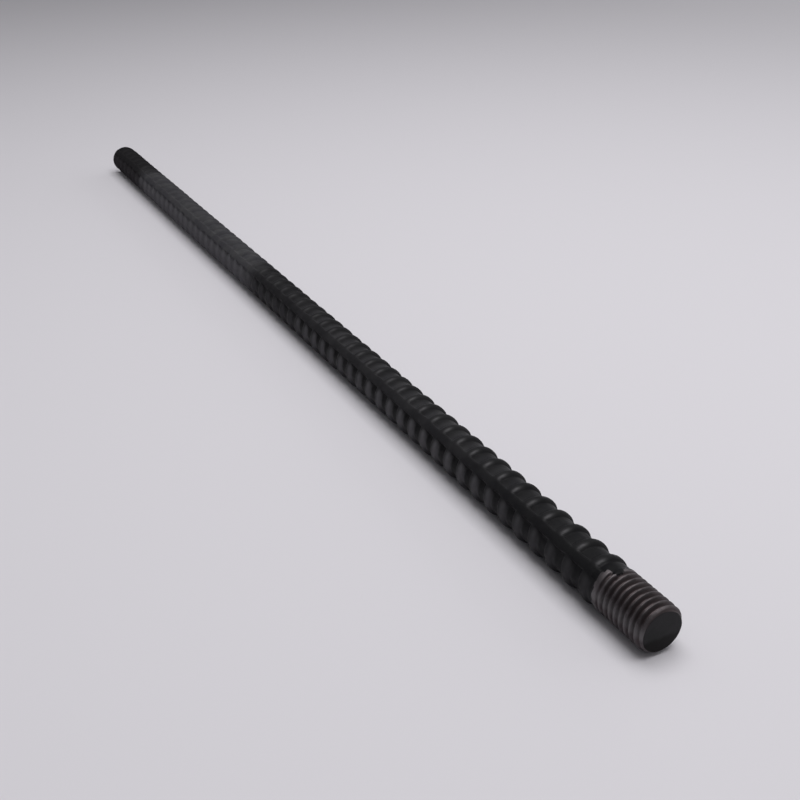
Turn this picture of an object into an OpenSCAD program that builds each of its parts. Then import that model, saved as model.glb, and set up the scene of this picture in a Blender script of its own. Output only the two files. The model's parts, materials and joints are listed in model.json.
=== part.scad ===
// Threaded anchor rod: a length of deformed steel bar with a short screw thread on one end.
// Units are millimetres. The rod lies along X on the plane Z = 0, threaded end towards +X.
// The shank is drawn at its size over the ribs, which is what it lies on and what a hole for it
// has to clear. The thread is drawn at its major diameter.

/* [Rod] */
// Overall length, from face to face
rod_length = 420; // [100:10:2000]

/* [Shank] */
// Diameter of the shank over its ribs
shank_d = 12.5; // [9:0.1:36]
// Bevel round the edge of the plain end, measured along the rod and across it
plain_bevel = 0.7; // [0.2:0.1:2]

/* [Thread] */
// Major diameter of the screw thread
thread_d = 12; // [8:1:30]
// Length of the threaded end, from the foot of the shoulder to the tip
thread_length = 17; // [8:1:80]
// Slope of the shoulder, the cone between the shank and the thread, in degrees from the axis
shoulder_slope = 20; // [10:5:45]
// Bevel round the tip, measured along the rod and across it
tip_bevel = 0.8; // [0.2:0.1:2]

/* [Colours] */
// Dark scale that the bar keeps from hot rolling
rod_colour = "#2b2b2c"; // ["#2b2b2c", "#3a3836", "#6f7274"]

/* [Hidden] */
$fn = 96;
shank_r = shank_d / 2;
thread_r = thread_d / 2;
shoulder_length = abs(shank_r - thread_r) / tan(shoulder_slope);
// Stations along the rod, measured from the plain end
shoulder_end = rod_length - thread_length;
shoulder_start = shoulder_end - shoulder_length;
thread_end = rod_length - tip_bevel;
// Height of the rod's axis above the plane that it lies on
axis_height = max(shank_r, thread_r);

// Half section of the rod: x is the distance from the axis, y the station from the plain end
module rod_half_section() {
  polygon([
    [0, 0],
    [shank_r - plain_bevel, 0],
    [shank_r, plain_bevel],
    [shank_r, shoulder_start],
    [thread_r, shoulder_end],
    [thread_r, thread_end],
    [thread_r - tip_bevel, rod_length],
    [0, rod_length],
  ]);
}

// The whole rod is one turned solid, laid along X with the seam of its turning on the +Y side,
// clear of the line that the rod rests on
module anchor_rod() {
  color(rod_colour)
    translate([-rod_length / 2, 0, axis_height])
      rotate([90, 0, 90])
        rotate_extrude() rod_half_section();
}

anchor_rod();
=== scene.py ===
"""Looks of the threaded anchor rod: a ribbed bar of dark, scaled steel with a screw thread on one
end, lying on a pale floor. Lengths are in metres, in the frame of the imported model.

The rod is a grid over v, the distance from the tip, and theta, the angle round the axis from +Y
towards +Z. The shape functions give each point of it a radius, and masks that tell the materials
how the steel looks there."""

import json
import math

import bpy
import numpy as np
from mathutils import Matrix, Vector


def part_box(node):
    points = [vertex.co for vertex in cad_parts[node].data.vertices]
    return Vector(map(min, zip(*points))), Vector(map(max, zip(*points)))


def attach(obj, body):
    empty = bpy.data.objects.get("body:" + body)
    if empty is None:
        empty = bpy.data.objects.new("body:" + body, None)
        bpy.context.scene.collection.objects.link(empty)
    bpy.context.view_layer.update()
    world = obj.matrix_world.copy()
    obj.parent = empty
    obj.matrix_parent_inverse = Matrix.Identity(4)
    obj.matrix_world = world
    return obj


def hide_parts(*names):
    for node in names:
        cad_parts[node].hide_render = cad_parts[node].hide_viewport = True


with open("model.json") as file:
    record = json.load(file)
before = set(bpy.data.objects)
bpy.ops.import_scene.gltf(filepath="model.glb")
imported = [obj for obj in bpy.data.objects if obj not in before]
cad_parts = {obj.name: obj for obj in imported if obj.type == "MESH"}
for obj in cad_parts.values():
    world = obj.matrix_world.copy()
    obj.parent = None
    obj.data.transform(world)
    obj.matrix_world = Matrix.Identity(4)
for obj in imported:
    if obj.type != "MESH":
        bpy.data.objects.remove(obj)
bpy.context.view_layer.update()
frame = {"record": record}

MM = 0.001

# ---------------------------------------------------------------- sizes taken from the frame
mounts = {m["name"]: m for m in frame["record"]["mounts"]}
thread_mount = mounts["threaded_end"]
rod_low, rod_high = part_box("anchor_rod")
TIP_X = rod_high.x
ROD_LENGTH = rod_high.x - rod_low.x
AXIS_Z = thread_mount["pos_m"][2]
THREAD_R = thread_mount["dims"]["r_mm"] * MM
THREAD_START = thread_mount["pos_m"][0] - thread_mount["dims"]["length_mm"] * MM / 2
THREAD_LENGTH = TIP_X - THREAD_START

# ---------------------------------------------------------------- the bar's own relief
CORE_R = 5.38 * MM
RIB_PITCH = 6.757 * MM
RIB_HEIGHT = 0.82 * MM
RIB_CREST = 0.2 * MM       # half the width of a cross rib's top
RIB_FRONT = 1.25 * MM      # length of a cross rib's rounded side towards the tip
RIB_BACK = 1.8 * MM        # and of the side away from the tip
FIRST_RIB = THREAD_LENGTH + 3.25 * MM  # from the tip to the middle of the first cross rib
LONG_RIB_ANGLE = math.radians(132.5)   # the other long rib is opposite
LONG_RIB_HEIGHT = 0.80 * MM
LONG_RIB_HALF = 0.85 * MM
LONG_RIB_FLANK = 0.65 * MM
LONG_RIB_START = (THREAD_LENGTH + 0.3 * MM, THREAD_LENGTH + 1.9 * MM)
NECK = 0.3 * MM            # by which the bar stands over its core between thread and first rib
NECK_START = THREAD_LENGTH + 0.8 * MM
CUT_ROUNDING = 0.35 * MM   # of the plain end's edge
CUT_ARC = 0.98             # how much of a full quarter circle the rounding is
CUT_SLANT = 0.8 * MM       # by which the plain end's upper side is shorter, as a shear leaves it
CUT_REACH = 4 * MM         # from the plain end, over which the slant fades out
WAVER_FADE = 5 * MM        # from the plain end, over which the ribs stop straying

# ---------------------------------------------------------------- the thread's relief
THREAD_PITCH = 1.75 * MM
THREAD_PLAY = 0.07 * MM    # by which the cut thread is smaller than its nominal radius
THREAD_FIRST = 1.3 * MM    # from the tip to the thread's crest on the +Y side
THREAD_DEPTH = 1.0 * MM
THREAD_CREST = 0.12        # share of the pitch that is flat crest
THREAD_ROOT = 0.14         # share of the pitch that is root
THREAD_ROUNDNESS = 0.4     # of the flanks, 0 for straight ones
RUNOUT = 2.6 * MM          # over which the thread's cut rises out of the bar
RUNOUT_ANGLE = math.radians(106)       # where the cut begins
CUT_END = 0.2 * MM         # by which the cut reaches past the thread's length there
SHOULDER = (-0.5 * MM, 0.9 * MM)       # from the cut's end, over which the shank takes over
POINT_LENGTH = 1.4 * MM    # of the rounded point
POINT_DROP = 0.95 * MM     # by which the point's radius falls to the end face
POINT_ROUNDNESS = 0.4      # of the point, 0 for a straight bevel
POINT_DOME = 0.12 * MM     # by which the end face's middle stands out
CAP_SHARES = (0.94, 0.75, 0.5, 0.25)   # radii of an end face's rings, as shares of its edge's

# ---------------------------------------------------------------- unevenness
# Each is its height, how wide its bumps are, and its seed
WAVER = (0.12 * MM, 9 * MM, 3)           # of the relief's place along the rod
RIB_UNEVEN = (0.04, 12 * MM, 5)          # of the cross ribs' height, as a share of it
EDGE_UNEVEN = (0.12 * MM, 3.5 * MM, 7)   # of the long ribs' edges
DENTS = (0.02 * MM, 2.5 * MM, 11)        # all over the shank
WEAR = (0.03 * MM, 1.5 * MM, 17)         # of the thread
RAGGED = (0.3 * MM, 1.1 * MM, 23)        # of the line where the scale begins
RIPPLE_WAVES = 14

# ---------------------------------------------------------------- marks on the scale
# A pair is the stretch over which a mask rises, and a four is where it rises and falls again.
# Those over a cross rib are measured from its middle, and below 0 is its side towards the tip.
LOWER_EDGE = (-0.4 * MM, 0.4 * MM)       # where the lower row begins, across the long rib's middle
LOWER_ROW = (0.4 * MM, 2.6 * MM)         # the same for its colour, which changes more gently
RUBBED_RIB = (-1.6 * MM, -0.6 * MM, 1.2 * MM, 2.6 * MM)      # in the upper row
RUBBED_TOP = (-0.7 * MM, 0.4 * MM)       # over which most of the rubbing is lost
RUBBED_LOSS = 0.7
RUBBED_REACH = (2.4 * MM, 4.6 * MM)      # from the long rib, over which the rest is lost
# The next are for painted light on the fronts of the lower row's cross ribs
PAINTED_LIGHT_FRONT = (-2.2 * MM, -0.7 * MM)   # in the lower row
PAINTED_LIGHT_LEAN = 0.2                       # slope of a patch's front edge, which is in its place
PAINTED_LIGHT_LEVEL = 2.2 * MM                 # this far down from the long rib's middle
PAINTED_LIGHT_TOP = (-0.9 * MM, 0.9 * MM)      # over which most of the painted light is lost
PAINTED_LIGHT_LOSS = 0.93
PAINTED_LIGHT_BACK = (1.2 * MM, 2.6 * MM)      # and the rest of it
PAINTED_LIGHT_DEPTH = (0.6 * MM, 3.0 * MM)     # below the axis, over which the patches fade
PAINTED_LIGHT_FADE = 0.7
NARROWING = 0.5 * MM                     # of the patches far from the thread
NARROWING_PLACE = (110 * MM, 150 * MM)   # from the tip
DARK_FOOT = (-3.1 * MM, -2.1 * MM, -0.2 * MM, 1.2 * MM)      # in the upper row, pale elsewhere
RIB_WITH_FEET = (-2.6 * MM, -1.6 * MM, 1.6 * MM, 2.6 * MM)   # outside it are the valleys
LONG_RIB_PALE = 0.4
LOWER_ROW_SHADE = 0.3                     # painted shade on the lower row, and as much again in its valleys
SCALE_EDGE = (-0.3 * MM, 0.4 * MM)       # from the cut's end, over which the scale begins
SCALE_STEP = 1.0 * MM                    # by which it begins nearer the tip than that
SCALE_STEP_PLACE = (0.5, 0.85)           # late in the last turn, as shares of it
WORN_LENGTH = THREAD_LENGTH + 1.2 * MM   # from the tip, as far as the thread's material goes

# ---------------------------------------------------------------- helpers


def smooth(a, b, x):
    """0 below a, 1 above b, and a smooth step between them."""
    t = np.clip((x - a) / (b - a), 0, 1)
    return t * t * (3 - 2 * t)


def plateau(a, b, c, d, x):
    """1 from b to c, 0 below a and above d, and smooth steps between them."""
    return smooth(a, b, x) * (1 - smooth(c, d, x))


def uneven(v, theta, radius, relief):
    """Smooth random relief at v and theta on a bar of that radius."""
    height, size, seed = relief
    x, y, z = v, radius * np.cos(theta), radius * np.sin(theta)
    rng = np.random.default_rng(seed)
    total = np.zeros(np.broadcast(x, y, z).shape)
    for _ in range(RIPPLE_WAVES):
        direction = rng.normal(size=3)
        direction *= rng.uniform(0.5, 1.5) * math.pi / (size * np.linalg.norm(direction))
        phase = rng.uniform(0, 2 * math.pi)
        total += np.sin(direction[0] * x + direction[1] * y + direction[2] * z + phase)
    return height * (total / math.sqrt(RIPPLE_WAVES))


def wrap(angle):
    """The same angle between -pi and pi."""
    return (angle + math.pi) % (2 * math.pi) - math.pi


# ---------------------------------------------------------------- shape of the rod


def waver(v, theta):
    """How far the bar's rolled relief strays along the rod from its regular place."""
    inside = plateau(THREAD_LENGTH, FIRST_RIB, ROD_LENGTH - WAVER_FADE, ROD_LENGTH, v)
    return uneven(v, theta, CORE_R, WAVER) * inside


def shank_looks(v, away, side, across, depth, along):
    """Masks for the looks of the shank's scale: how far it is rubbed off, on the shoulders of the
    upper row of cross ribs; how much painted light lies on the fronts of the lower row's cross
    ribs;
    how much paler it is than elsewhere, or darker below 0, as painted shade in the lower row; and
    the lower row itself. They come from the distances to the tip, the nearest cross rib and the
    nearest long rib, the way down across the long rib, the depth below the rod's axis, and the long
    ribs' own mask."""
    lower = smooth(*LOWER_EDGE, across)
    row = smooth(*LOWER_ROW, across)
    beside = 1 - along

    rubbed = plateau(*RUBBED_RIB, away) * (1 - RUBBED_LOSS * smooth(*RUBBED_TOP, away))
    rubbed *= (1 - smooth(*RUBBED_REACH, side)) * (1 - lower) * beside

    # Painted light on the fronts of the lower row's cross ribs
    # The patches' front edge leans, and far from the thread their other edge lies further forward
    leaning = away + PAINTED_LIGHT_LEAN * (across - PAINTED_LIGHT_LEVEL)
    narrowed = away + NARROWING * smooth(*NARROWING_PLACE, v)
    painted_light = smooth(*PAINTED_LIGHT_FRONT, leaning) * (1 - PAINTED_LIGHT_LOSS * smooth(*PAINTED_LIGHT_TOP, narrowed))
    painted_light *= (1 - smooth(*PAINTED_LIGHT_BACK, away)) * row * beside
    painted_light *= 1 - PAINTED_LIGHT_FADE * smooth(*PAINTED_LIGHT_DEPTH, depth)

    # The lower row gets painted shade, and its valleys, shaded by the long rib, darker still; the
    # upper row and the long ribs are made paler
    valley = 1 - plateau(*RIB_WITH_FEET, away)
    pale = (1 - lower) * (1 - plateau(*DARK_FOOT, away)) * beside + LONG_RIB_PALE * along
    pale -= lower * beside * LOWER_ROW_SHADE * (1 + valley)
    return {"rubbed": rubbed, "painted_light": painted_light, "pale": pale, "row": row}


def shank_surface(v, theta):
    """Radius of the ribbed shank at v and theta, and the masks of its looks there."""
    number = np.maximum(np.round((v - FIRST_RIB) / RIB_PITCH), 0)
    away = v - FIRST_RIB - number * RIB_PITCH
    fall = (np.abs(away) - RIB_CREST) / np.where(away > 0, RIB_BACK, RIB_FRONT)
    cross = (1 - np.clip(fall, 0, 1) ** 2) * (1 + uneven(v, theta, CORE_R, RIB_UNEVEN))
    side = np.minimum(np.abs(wrap(theta - LONG_RIB_ANGLE)),
                      np.abs(wrap(theta - LONG_RIB_ANGLE - math.pi))) * CORE_R
    side = side + uneven(v, theta, CORE_R, EDGE_UNEVEN)
    along = 1 - smooth(LONG_RIB_HALF, LONG_RIB_HALF + LONG_RIB_FLANK, side)
    along *= smooth(*LONG_RIB_START, v)
    neck = NECK * (1 - smooth(NECK_START, FIRST_RIB, v))
    height = np.maximum(np.maximum(RIB_HEIGHT * cross, LONG_RIB_HEIGHT * along), neck)
    radius = CORE_R + height + uneven(v, theta, CORE_R, DENTS)
    across = CORE_R * np.sin(theta - LONG_RIB_ANGLE)
    depth = -CORE_R * np.sin(theta)
    return radius, shank_looks(v, away, side, across, depth, along)


def thread_end(theta):
    """How far from the tip the thread's cut reaches at angle theta: a pitch less after a turn."""
    turn = ((theta - RUNOUT_ANGLE) % (2 * math.pi)) / (2 * math.pi)
    return THREAD_LENGTH + CUT_END - THREAD_PITCH * turn


def thread_surface(v, theta):
    """Radius of the screw thread at v and theta, and how deep in the groove that is, 0 to 1."""
    turns = (THREAD_FIRST - v) / THREAD_PITCH - theta / (2 * math.pi)
    from_crest = 2 * np.abs(turns - np.round(turns))
    flank = np.clip((from_crest - THREAD_CREST) / (1 - THREAD_CREST - THREAD_ROOT), 0, 1)
    groove = (1 - THREAD_ROUNDNESS) * flank + THREAD_ROUNDNESS * smooth(0, 1, flank)
    # Towards its end the cut lies less and less deep, which leaves wider and wider crests
    end = thread_end(theta)
    groove = np.maximum(groove - smooth(end - RUNOUT, end + CUT_END, v), 0)
    radius = THREAD_R - THREAD_PLAY - THREAD_DEPTH * groove + uneven(v, theta, THREAD_R, WEAR)
    share = 1 - np.clip(v / POINT_LENGTH, 0, 1)
    drop = (1 - POINT_ROUNDNESS) * share + POINT_ROUNDNESS * share ** 3
    point = THREAD_R - THREAD_PLAY - POINT_DROP * drop
    return np.minimum(radius, point), groove


def rod_surface(v, theta):
    """Distance from the tip and radius of the finished rod at v and theta, and its masks."""
    shank, masks = shank_surface(v, theta)
    thread, groove = thread_surface(v, theta)
    end = thread_end(theta)
    mix = smooth(end + SHOULDER[0], end + SHOULDER[1], v)
    rounding = np.clip(1 - (ROD_LENGTH - v) / CUT_ROUNDING, 0, 1)
    radius = thread * (1 - mix) + shank * mix
    radius -= CUT_ROUNDING * (1 - np.sqrt(1 - rounding ** 2 * CUT_ARC))
    slant = CUT_SLANT * smooth(ROD_LENGTH - CUT_REACH, ROD_LENGTH, v)
    place = v + waver(v, theta) - slant * (0.5 + 0.5 * np.sin(theta))
    bare = end - SCALE_STEP * smooth(*SCALE_STEP_PLACE, (THREAD_LENGTH - end) / THREAD_PITCH)
    edge = v + uneven(v, theta, CORE_R, RAGGED)
    masks["rubbed"] *= mix
    masks["groove"] = groove * (1 - mix)
    masks["worn"] = 1 - smooth(bare + SCALE_EDGE[0], bare + SCALE_EDGE[1], edge)
    return place, radius, masks


def angles():
    """Angles round the rod, closer together where the long ribs stand."""
    edge = 16
    near = np.radians(np.linspace(-edge, edge, 19))
    between = np.radians(np.linspace(edge, 180 - edge, 25))[1:-1]
    half = np.concatenate([near, between])
    return np.concatenate([half, half + math.pi]) + LONG_RIB_ANGLE


def stations():
    """Distances from the tip at which the rod's rings stand, closer together on the ribs' sides."""
    step = 0.1 * MM
    point = np.linspace(POINT_DOME, POINT_LENGTH, 13)
    thread = np.arange(POINT_LENGTH + step, THREAD_LENGTH + 10 * step, step)
    sides = np.array([0.2, 0.45, 0.7, 0.9, 1.0, 1.1])
    front = -(RIB_CREST + RIB_FRONT * sides)[::-1]
    back = RIB_CREST + RIB_BACK * sides
    gap = RIB_PITCH + front[0] - back[-1]
    valley = back[-1] + gap * np.array([1, 2]) / 3
    rib = np.concatenate([front, [0], back, valley])
    count = math.ceil((ROD_LENGTH - FIRST_RIB) / RIB_PITCH) + 1
    shank = (FIRST_RIB + RIB_PITCH * np.arange(count)[:, None] + rib).ravel()
    shank = shank[(shank > thread[-1] + step) & (shank < ROD_LENGTH - 1.5 * CUT_ROUNDING)]
    turn = np.linspace(0, math.pi / 2, 5)
    plain = ROD_LENGTH - CUT_ROUNDING + CUT_ROUNDING * np.sin(turn)
    return np.concatenate([point, thread, shank, plain])


def cap(edge, dome):
    """Smaller and smaller rings inside the edge of an end face, and the point in its middle, which
    stands out by dome."""
    centre = np.array([edge[:, 0].mean() + dome, 0, AXIS_Z])
    rise = np.array([dome, 0, 0])
    rings = [centre + (edge - centre) * s + rise * (s - s ** 2) for s in CAP_SHARES]
    return rings + [centre[None]]


# Slots of the rod's materials
SCALE_SLOT, THREAD_SLOT, CUT_SLOT = range(3)


def band_slot(row, row_stations):
    """Material slot of the faces between a ring and the next one."""
    station = row - len(CAP_SHARES)
    if station < 0 or station >= len(row_stations) - 1:
        return CUT_SLOT
    return THREAD_SLOT if row_stations[station] < WORN_LENGTH else SCALE_SLOT


def build_rod():
    """The rod as one closed mesh: a point, rings from the tip to the plain end, and a point."""
    theta = angles()
    row_stations = stations()
    grid_v, grid_t = np.meshgrid(row_stations, theta, indexing="ij")
    place, radius, masks = rod_surface(grid_v, grid_t)
    rings = np.stack([TIP_X - place, radius * np.cos(grid_t), AXIS_Z + radius * np.sin(grid_t)], -1)
    tip, plain = cap(rings[0], POINT_DOME), cap(rings[-1], 0)
    points = np.concatenate(tip[::-1] + [rings.reshape(-1, 3)] + plain)

    count = len(theta)
    rows = len(CAP_SHARES) * 2 + len(row_stations)
    pairs = [(k, (k + 1) % count) for k in range(count)]
    last = 1 + (rows - 1) * count
    faces = [(0, 1 + j, 1 + k) for k, j in pairs]
    slots = [CUT_SLOT] * count
    for row in range(rows - 1):
        base = 1 + row * count
        faces += [(base + k, base + j, base + count + j, base + count + k) for k, j in pairs]
        slots += [band_slot(row, row_stations)] * count
    faces += [(last + k, last + j, len(points) - 1) for k, j in pairs]
    slots += [CUT_SLOT] * count

    mesh = bpy.data.meshes.new("anchor_rod_steel")
    mesh.from_pydata(points.tolist(), [], faces)
    mesh.polygons.foreach_set("material_index", slots)
    mesh.polygons.foreach_set("use_smooth", [True] * len(faces))
    first = 1 + len(CAP_SHARES) * count
    for name, values in masks.items():
        full = np.zeros(len(points), np.float32)
        full[first:first + values.size] = values.ravel()
        mesh.attributes.new(name, "FLOAT", "POINT").data.foreach_set("value", full)
    mesh.update()
    obj = bpy.data.objects.new("ribbed_threaded_rod", mesh)
    bpy.context.scene.collection.objects.link(obj)
    return obj


# ---------------------------------------------------------------- node trees


class Nodes:
    """A short way to write a node tree."""

    def __init__(self, name):
        self.material = bpy.data.materials.new(name)
        self.material.use_nodes = True
        self.tree = self.material.node_tree
        self.shader = self.tree.nodes["Principled BSDF"]

    def add(self, kind, **settings):
        node = self.tree.nodes.new("ShaderNode" + kind)
        for key, value in settings.items():
            setattr(node, key, value)
        return node

    def link(self, source, target):
        """Joins a socket to target, or gives target a fixed value."""
        if isinstance(source, bpy.types.NodeSocket):
            self.tree.links.new(source, target)
        else:
            target.default_value = source

    def coords(self):
        return self.add("TexCoord").outputs["Object"]

    def noise(self, scale, detail, rough=0.55):
        node = self.add("TexNoise")
        node.inputs["Scale"].default_value = scale
        node.inputs["Detail"].default_value = detail
        node.inputs["Roughness"].default_value = rough
        self.link(self.coords(), node.inputs["Vector"])
        return node.outputs["Fac"]

    def remap(self, value, a, b, c=0.0, d=1.0):
        """c at a, d at b, a smooth step between them, and level outside."""
        node = self.add("MapRange", clamp=True, interpolation_type="SMOOTHSTEP")
        for key, number in zip(("From Min", "From Max", "To Min", "To Max"), (a, b, c, d)):
            node.inputs[key].default_value = number
        self.link(value, node.inputs["Value"])
        return node.outputs["Result"]

    def math(self, operation, a, b):
        node = self.add("Math", operation=operation)
        self.link(a, node.inputs[0])
        self.link(b, node.inputs[1])
        return node.outputs[0]

    def mix(self, factor, a, b):
        """Colour a where factor is 0 and b where it is 1."""
        node = self.add("Mix", data_type="RGBA")
        self.link(factor, node.inputs["Factor"])
        # The colour sockets go by number, because those for plain numbers have the same names
        for socket, colour in ((node.inputs[6], a), (node.inputs[7], b)):
            self.link(colour if isinstance(colour, bpy.types.NodeSocket) else (*colour, 1), socket)
        return node.outputs[2]

    def mix_number(self, factor, a, b):
        node = self.add("Mix", data_type="FLOAT")
        for key, value in (("Factor", factor), ("A", a), ("B", b)):
            self.link(value, node.inputs[key])
        return node.outputs["Result"]

    def scaled(self, colour, factor):
        node = self.add("VectorMath", operation="SCALE")
        self.link(colour, node.inputs[0])
        self.link(factor, node.inputs["Scale"])
        return node.outputs[0]

    def bump(self, height, strength, distance, normal=None):
        node = self.add("Bump")
        node.inputs["Strength"].default_value = strength
        node.inputs["Distance"].default_value = distance
        self.link(height, node.inputs["Height"])
        if normal is not None:
            self.link(normal, node.inputs["Normal"])
        return node.outputs["Normal"]

    def attribute(self, name):
        return self.add("Attribute", attribute_name=name).outputs["Fac"]

    def axis(self, index):
        node = self.add("SeparateXYZ")
        self.link(self.coords(), node.inputs[0])
        return node.outputs[index]

    def from_tip(self):
        return self.math("SUBTRACT", TIP_X, self.axis(0))

    def above_axis(self):
        return self.math("SUBTRACT", self.axis(2), AXIS_Z)


# ---------------------------------------------------------------- colours
# Pairs are the darker and the lighter patches of one look
SCALE_AT_THREAD = ((0.0073, 0.0072, 0.0082), (0.0107, 0.0106, 0.0113))
SCALE_FURTHER = ((0.0105, 0.0102, 0.0113), (0.0155, 0.0151, 0.0162))
SCALE_PALE = ((0.0415, 0.0405, 0.0455), (0.056, 0.055, 0.058))
SCALE_PALE_LOWER = (0.081, 0.079, 0.085)
# Painted light on the lower row's rib fronts, in the pale half
SCALE_PALE_PAINTED_LIGHT = (0.109, 0.106, 0.114)
# Painted light on the lower row's rib fronts, in the dark half
PAINTED_LIGHT_AT_THREAD = (0.0385, 0.0375, 0.04)
PAINTED_LIGHT_FURTHER = (0.092, 0.0895, 0.0955)
PLAIN_END_UPPER = (0.0135, 0.0127, 0.014)
PLAIN_END_LOWER = (0.03, 0.0275, 0.03)
RUBBED_STEEL = (0.036, 0.035, 0.037)
CREST = ((0.068, 0.06, 0.063), (0.106, 0.094, 0.098))
CREST_BRIGHT = (0.118, 0.106, 0.111)
# Painted sheen on the thread's sides at middle height
PAINTED_SHEEN_COLOUR = (0.128, 0.121, 0.123)
GROOVE = (0.072, 0.059, 0.061)
CUT_GREY = ((0.0172, 0.0172, 0.0176), (0.0222, 0.021, 0.0228))
# Painted shade on the lower part of the end faces
CUT_PAINTED_SHADE = (0.0031, 0.0025, 0.0025)
PAPER = (0.64, 0.622, 0.658)

# ---------------------------------------------------------------- where the looks change
# A pair is the stretch over which a change comes about. These are measured from the tip.
FURTHER = (45 * MM, 130 * MM)            # from the scale at the thread to that further on
CONTRAST_UP = (30 * MM, 105 * MM)        # the dark half's rows and valleys part in brightness
CONTRAST_DOWN = (192 * MM, 202 * MM)     # and lose this share of the contrast again
CONTRAST_LOSS = 0.65
PALE_STRENGTH = 1.2                      # with which the mask pale changes the dark half; below 0 it is painted shade
PAINTED_LIGHT_DIMMER = (193 * MM, 202 * MM)    # the painted light patches keep this share of their brightness
PAINTED_LIGHT_KEPT = 0.83
SHINE_DOWN = (60 * MM, 220 * MM)         # the rubbed places keep this share of their shine
SHINE_KEPT = 0.6
PALE_START = (232 * MM, 252 * MM)        # the pale scale begins, with this share of the shine
PALE_SHINE = 0.3
PALE_END = (ROD_LENGTH - 46 * MM, ROD_LENGTH - 26 * MM)   # the dark plain end begins
WANDER = 25 * MM                         # by which all these places wander with a noise
BRIGHT_TURNS = (12.6 * MM, 14.8 * MM)    # the upper side of the thread gets brighter
# These are measured up from the axis.
BRIGHT_RISE = (-2.0 * MM, 2.0 * MM)      # the same, from below
PAINTED_SHEEN_TOP = (3.0 * MM, 0.9 * MM)          # upper edge of a band of painted sheen on the thread's sides
PAINTED_SHEEN_FOOT = (-1.3 * MM, 0.1 * MM)        # and its lower edge
PAINTED_SHADE_HEIGHT = (-1.5 * MM, -3.2 * MM)           # the end faces get darker, by painted shade

# ---------------------------------------------------------------- materials


def wandering_place(n):
    """Distance from the tip plus a noise, so that no look changes along a straight line."""
    return n.math("ADD", n.from_tip(), n.math("MULTIPLY", n.noise(90, 2), WANDER))


def dark_scale(n, place, patches):
    """Colour of the scale on the half next to the thread, with painted shade on its lower row and
    painted light on that row's rib fronts.
    """
    contrast = n.math("SUBTRACT", n.remap(place, *CONTRAST_UP),
                      n.math("MULTIPLY", n.remap(place, *CONTRAST_DOWN), CONTRAST_LOSS))
    colour = n.mix(n.remap(place, *FURTHER), n.mix(patches, *SCALE_AT_THREAD),
                   n.mix(patches, *SCALE_FURTHER))
    # Painted shade on the lower row, where pale is below 0, and paler above
    tone = n.math("MULTIPLY", n.math("MULTIPLY", n.attribute("pale"), contrast), PALE_STRENGTH)
    colour = n.scaled(colour, n.math("ADD", tone, 1))
    # Painted light on the fronts of the lower row's cross ribs
    grey = n.mix(contrast, PAINTED_LIGHT_AT_THREAD, PAINTED_LIGHT_FURTHER)
    grey = n.scaled(grey, n.remap(place, *PAINTED_LIGHT_DIMMER, 1, PAINTED_LIGHT_KEPT))
    return n.mix(n.attribute("painted_light"), colour, grey)


def scale_colour(n, place):
    """Colour of the mill scale: dark, then paler over most of the far half, and dark again at the
    plain end."""
    row = n.attribute("row")
    patches = n.remap(n.noise(160, 4, 0.6), 0.35, 0.68)
    pale = n.mix(row, n.mix(patches, *SCALE_PALE), SCALE_PALE_LOWER)
    # Painted light on the fronts of the lower row's cross ribs
    pale = n.mix(n.attribute("painted_light"), pale, SCALE_PALE_PAINTED_LIGHT)
    plain_end = n.mix(row, PLAIN_END_UPPER, PLAIN_END_LOWER)
    colour = n.mix(n.remap(place, *PALE_START), dark_scale(n, place, patches), pale)
    return n.mix(n.remap(place, *PALE_END), colour, plain_end)


def mill_scale():
    """Dark scale from hot rolling, which shines where it is rubbed off, with painted light and
    shade on the lower row of cross ribs.
    """
    n = Nodes("mill_scale")
    place = wandering_place(n)
    pale_part = n.remap(place, *PALE_START)
    rough = n.mix_number(pale_part, n.remap(n.noise(700, 3, 0.6), 0.3, 0.7, 0.45, 0.6), 0.85)
    shine = n.math("MULTIPLY", n.remap(place, *SHINE_DOWN, 1, SHINE_KEPT),
                   n.remap(pale_part, 0, 1, 1, PALE_SHINE))
    rubbed = n.math("MULTIPLY", n.attribute("rubbed"), shine)
    n.link(n.mix(rubbed, scale_colour(n, place), RUBBED_STEEL), n.shader.inputs["Base Color"])
    n.link(n.remap(rubbed, 0, 1, 0, 0.55), n.shader.inputs["Metallic"])
    n.link(n.mix_number(rubbed, rough, 0.32), n.shader.inputs["Roughness"])
    n.shader.inputs["Specular IOR Level"].default_value = 0.07
    coarse = n.bump(n.noise(500, 4, 0.6), 0.35, 0.25 * MM)
    n.link(n.bump(n.noise(2600, 3, 0.6), 0.25, 0.06 * MM, coarse), n.shader.inputs["Normal"])
    return n.material


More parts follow.
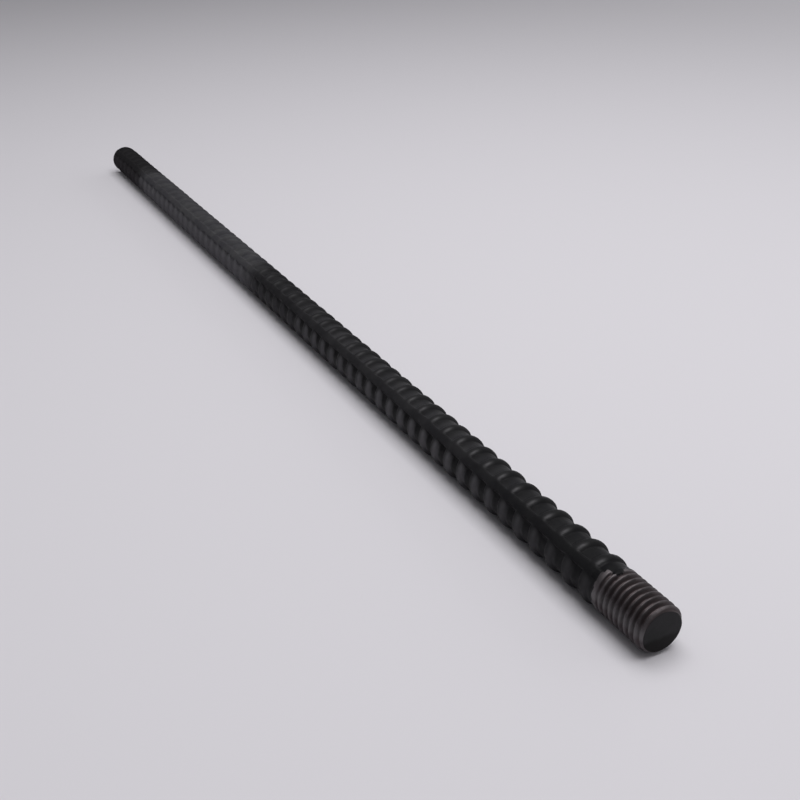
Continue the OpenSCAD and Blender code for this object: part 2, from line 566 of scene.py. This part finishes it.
def worn_thread():
    """Bare steel on the thread's crests, dirty in its grooves, breaking up into mill scale, with a
    painted sheen on its sides.
    """
    n = Nodes("worn_thread")
    patches = n.remap(n.noise(420, 3, 0.6), 0.38, 0.62)
    bright = n.math("MULTIPLY", n.remap(n.from_tip(), *BRIGHT_TURNS),
                    n.remap(n.above_axis(), *BRIGHT_RISE))
    crest = n.mix(bright, n.mix(patches, *CREST), CREST_BRIGHT)
    metal = n.mix(n.remap(n.attribute("groove"), 0.05, 0.6), crest, GROOVE)
    # Painted sheen: both sides are lighter at middle height, standing in for the grazing reflection
    # there
    painted_sheen = n.math("MULTIPLY", n.remap(n.above_axis(), *PAINTED_SHEEN_TOP),
                  n.remap(n.above_axis(), *PAINTED_SHEEN_FOOT))
    metal = n.mix(painted_sheen, metal, PAINTED_SHEEN_COLOUR)
    edge = n.math("ADD", n.attribute("worn"), n.remap(n.noise(1500, 3, 0.6), 0.3, 0.7, -0.3, 0.3))
    scaled = n.remap(edge, 0.65, 0.35)
    scale = scale_colour(n, wandering_place(n))
    n.link(n.mix(scaled, metal, scale), n.shader.inputs["Base Color"])
    n.link(n.remap(scaled, 0, 1, 0.5, 0.4), n.shader.inputs["Roughness"])
    n.link(n.remap(scaled, 0, 1, 0.95, 0), n.shader.inputs["Metallic"])
    n.shader.inputs["Specular IOR Level"].default_value = 0.05
    n.link(n.bump(n.noise(1800, 3, 0.6), 0.3, 0.08 * MM), n.shader.inputs["Normal"])
    return n.material


def cut_face():
    """The end faces: grey, with painted shade that makes them darker and browner towards the floor.
    """
    n = Nodes("cut_face")
    # Painted shade on the lower part of the faces, its edge made ragged by a noise
    height = n.math("SUBTRACT", n.above_axis(), n.math("MULTIPLY", n.noise(300, 2), 2 * MM))
    painted_shade = n.remap(height, *PAINTED_SHADE_HEIGHT)
    grey = n.mix(n.remap(n.noise(260, 2), 0.35, 0.65), *CUT_GREY)
    n.link(n.mix(painted_shade, grey, CUT_PAINTED_SHADE), n.shader.inputs["Base Color"])
    n.shader.inputs["Roughness"].default_value = 0.5
    n.shader.inputs["Specular IOR Level"].default_value = 0.1
    n.link(n.bump(n.noise(1500, 3, 0.6), 0.3, 0.08 * MM), n.shader.inputs["Normal"])
    return n.material


def pale_paper():
    n = Nodes("pale_paper")
    n.shader.inputs["Base Color"].default_value = (*PAPER, 1)
    n.shader.inputs["Roughness"].default_value = 0.9
    n.shader.inputs["Specular IOR Level"].default_value = 0.2
    return n.material


# ---------------------------------------------------------------- the rod

rod = build_rod()
# In the order of their slots
for material in (mill_scale(), worn_thread(), cut_face()):
    rod.data.materials.append(material)
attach(rod, "root")
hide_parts("anchor_rod")

# ---------------------------------------------------------------- floor, light and camera
FLOOR_HALF = 6.0
CAMERA_FROM_TIP = Vector((135.5 * MM, -132.3 * MM, 147.85 * MM))
CAMERA_HEADING = math.radians(152.45)
CAMERA_PITCH = math.radians(27.31)
CAMERA_LENS = 49.6


def build_floor():
    """A square of paper, level with the lowest point of the rod."""
    lowest = min(v.co.z for v in rod.data.vertices)
    mesh = bpy.data.meshes.new("floor")
    corners = [(-FLOOR_HALF, -FLOOR_HALF), (FLOOR_HALF, -FLOOR_HALF),
               (FLOOR_HALF, FLOOR_HALF), (-FLOOR_HALF, FLOOR_HALF)]
    mesh.from_pydata([(x, y, lowest) for x, y in corners], [], [(0, 1, 2, 3)])
    floor = bpy.data.objects.new("floor", mesh)
    bpy.context.scene.collection.objects.link(floor)
    floor.data.materials.append(pale_paper())


def build_world():
    world = bpy.data.worlds.new("studio")
    bpy.context.scene.world = world
    world.use_nodes = True
    back = world.node_tree.nodes["Background"]
    back.inputs["Color"].default_value = (0.95, 0.96, 1.0, 1)
    back.inputs["Strength"].default_value = 0.12


def add_lamp(name, place, size, power, tilt=0.0):
    """A soft lamp that shines straight down, or tilted from there towards -Y. Size is its extent
    along the rod and across it."""
    light = bpy.data.lights.new(name, "AREA")
    light.shape = "RECTANGLE"
    light.size, light.size_y = size
    light.energy = power
    lamp = bpy.data.objects.new(name, light)
    lamp.location = place
    lamp.rotation_euler = (-tilt, 0, 0)
    lamp.visible_camera = False
    bpy.context.scene.collection.objects.link(lamp)


def build_camera():
    data = bpy.data.cameras.new("camera")
    data.lens = CAMERA_LENS
    data.sensor_width = 36
    data.clip_start = 0.01
    camera = bpy.data.objects.new("camera", data)
    camera.location = Vector((TIP_X, 0, AXIS_Z)) + CAMERA_FROM_TIP
    camera.rotation_euler = (math.pi / 2 - CAMERA_PITCH, 0, CAMERA_HEADING - math.pi / 2)
    bpy.context.scene.collection.objects.link(camera)
    bpy.context.scene.camera = camera


build_floor()
build_world()
add_lamp("softbox", place=(0.12, 0.11, 0.78), size=(0.82, 0.64), power=5.5)
add_lamp("ceiling", place=(0.1, 0.6, 1.0), size=(3.0, 3.0), power=7.5)
add_lamp("side_panel", place=(0, 1.3, 0.4), size=(2.6, 0.7), power=4.6, tilt=math.radians(85))
build_camera()
bpy.context.scene.view_settings.view_transform = "Standard"
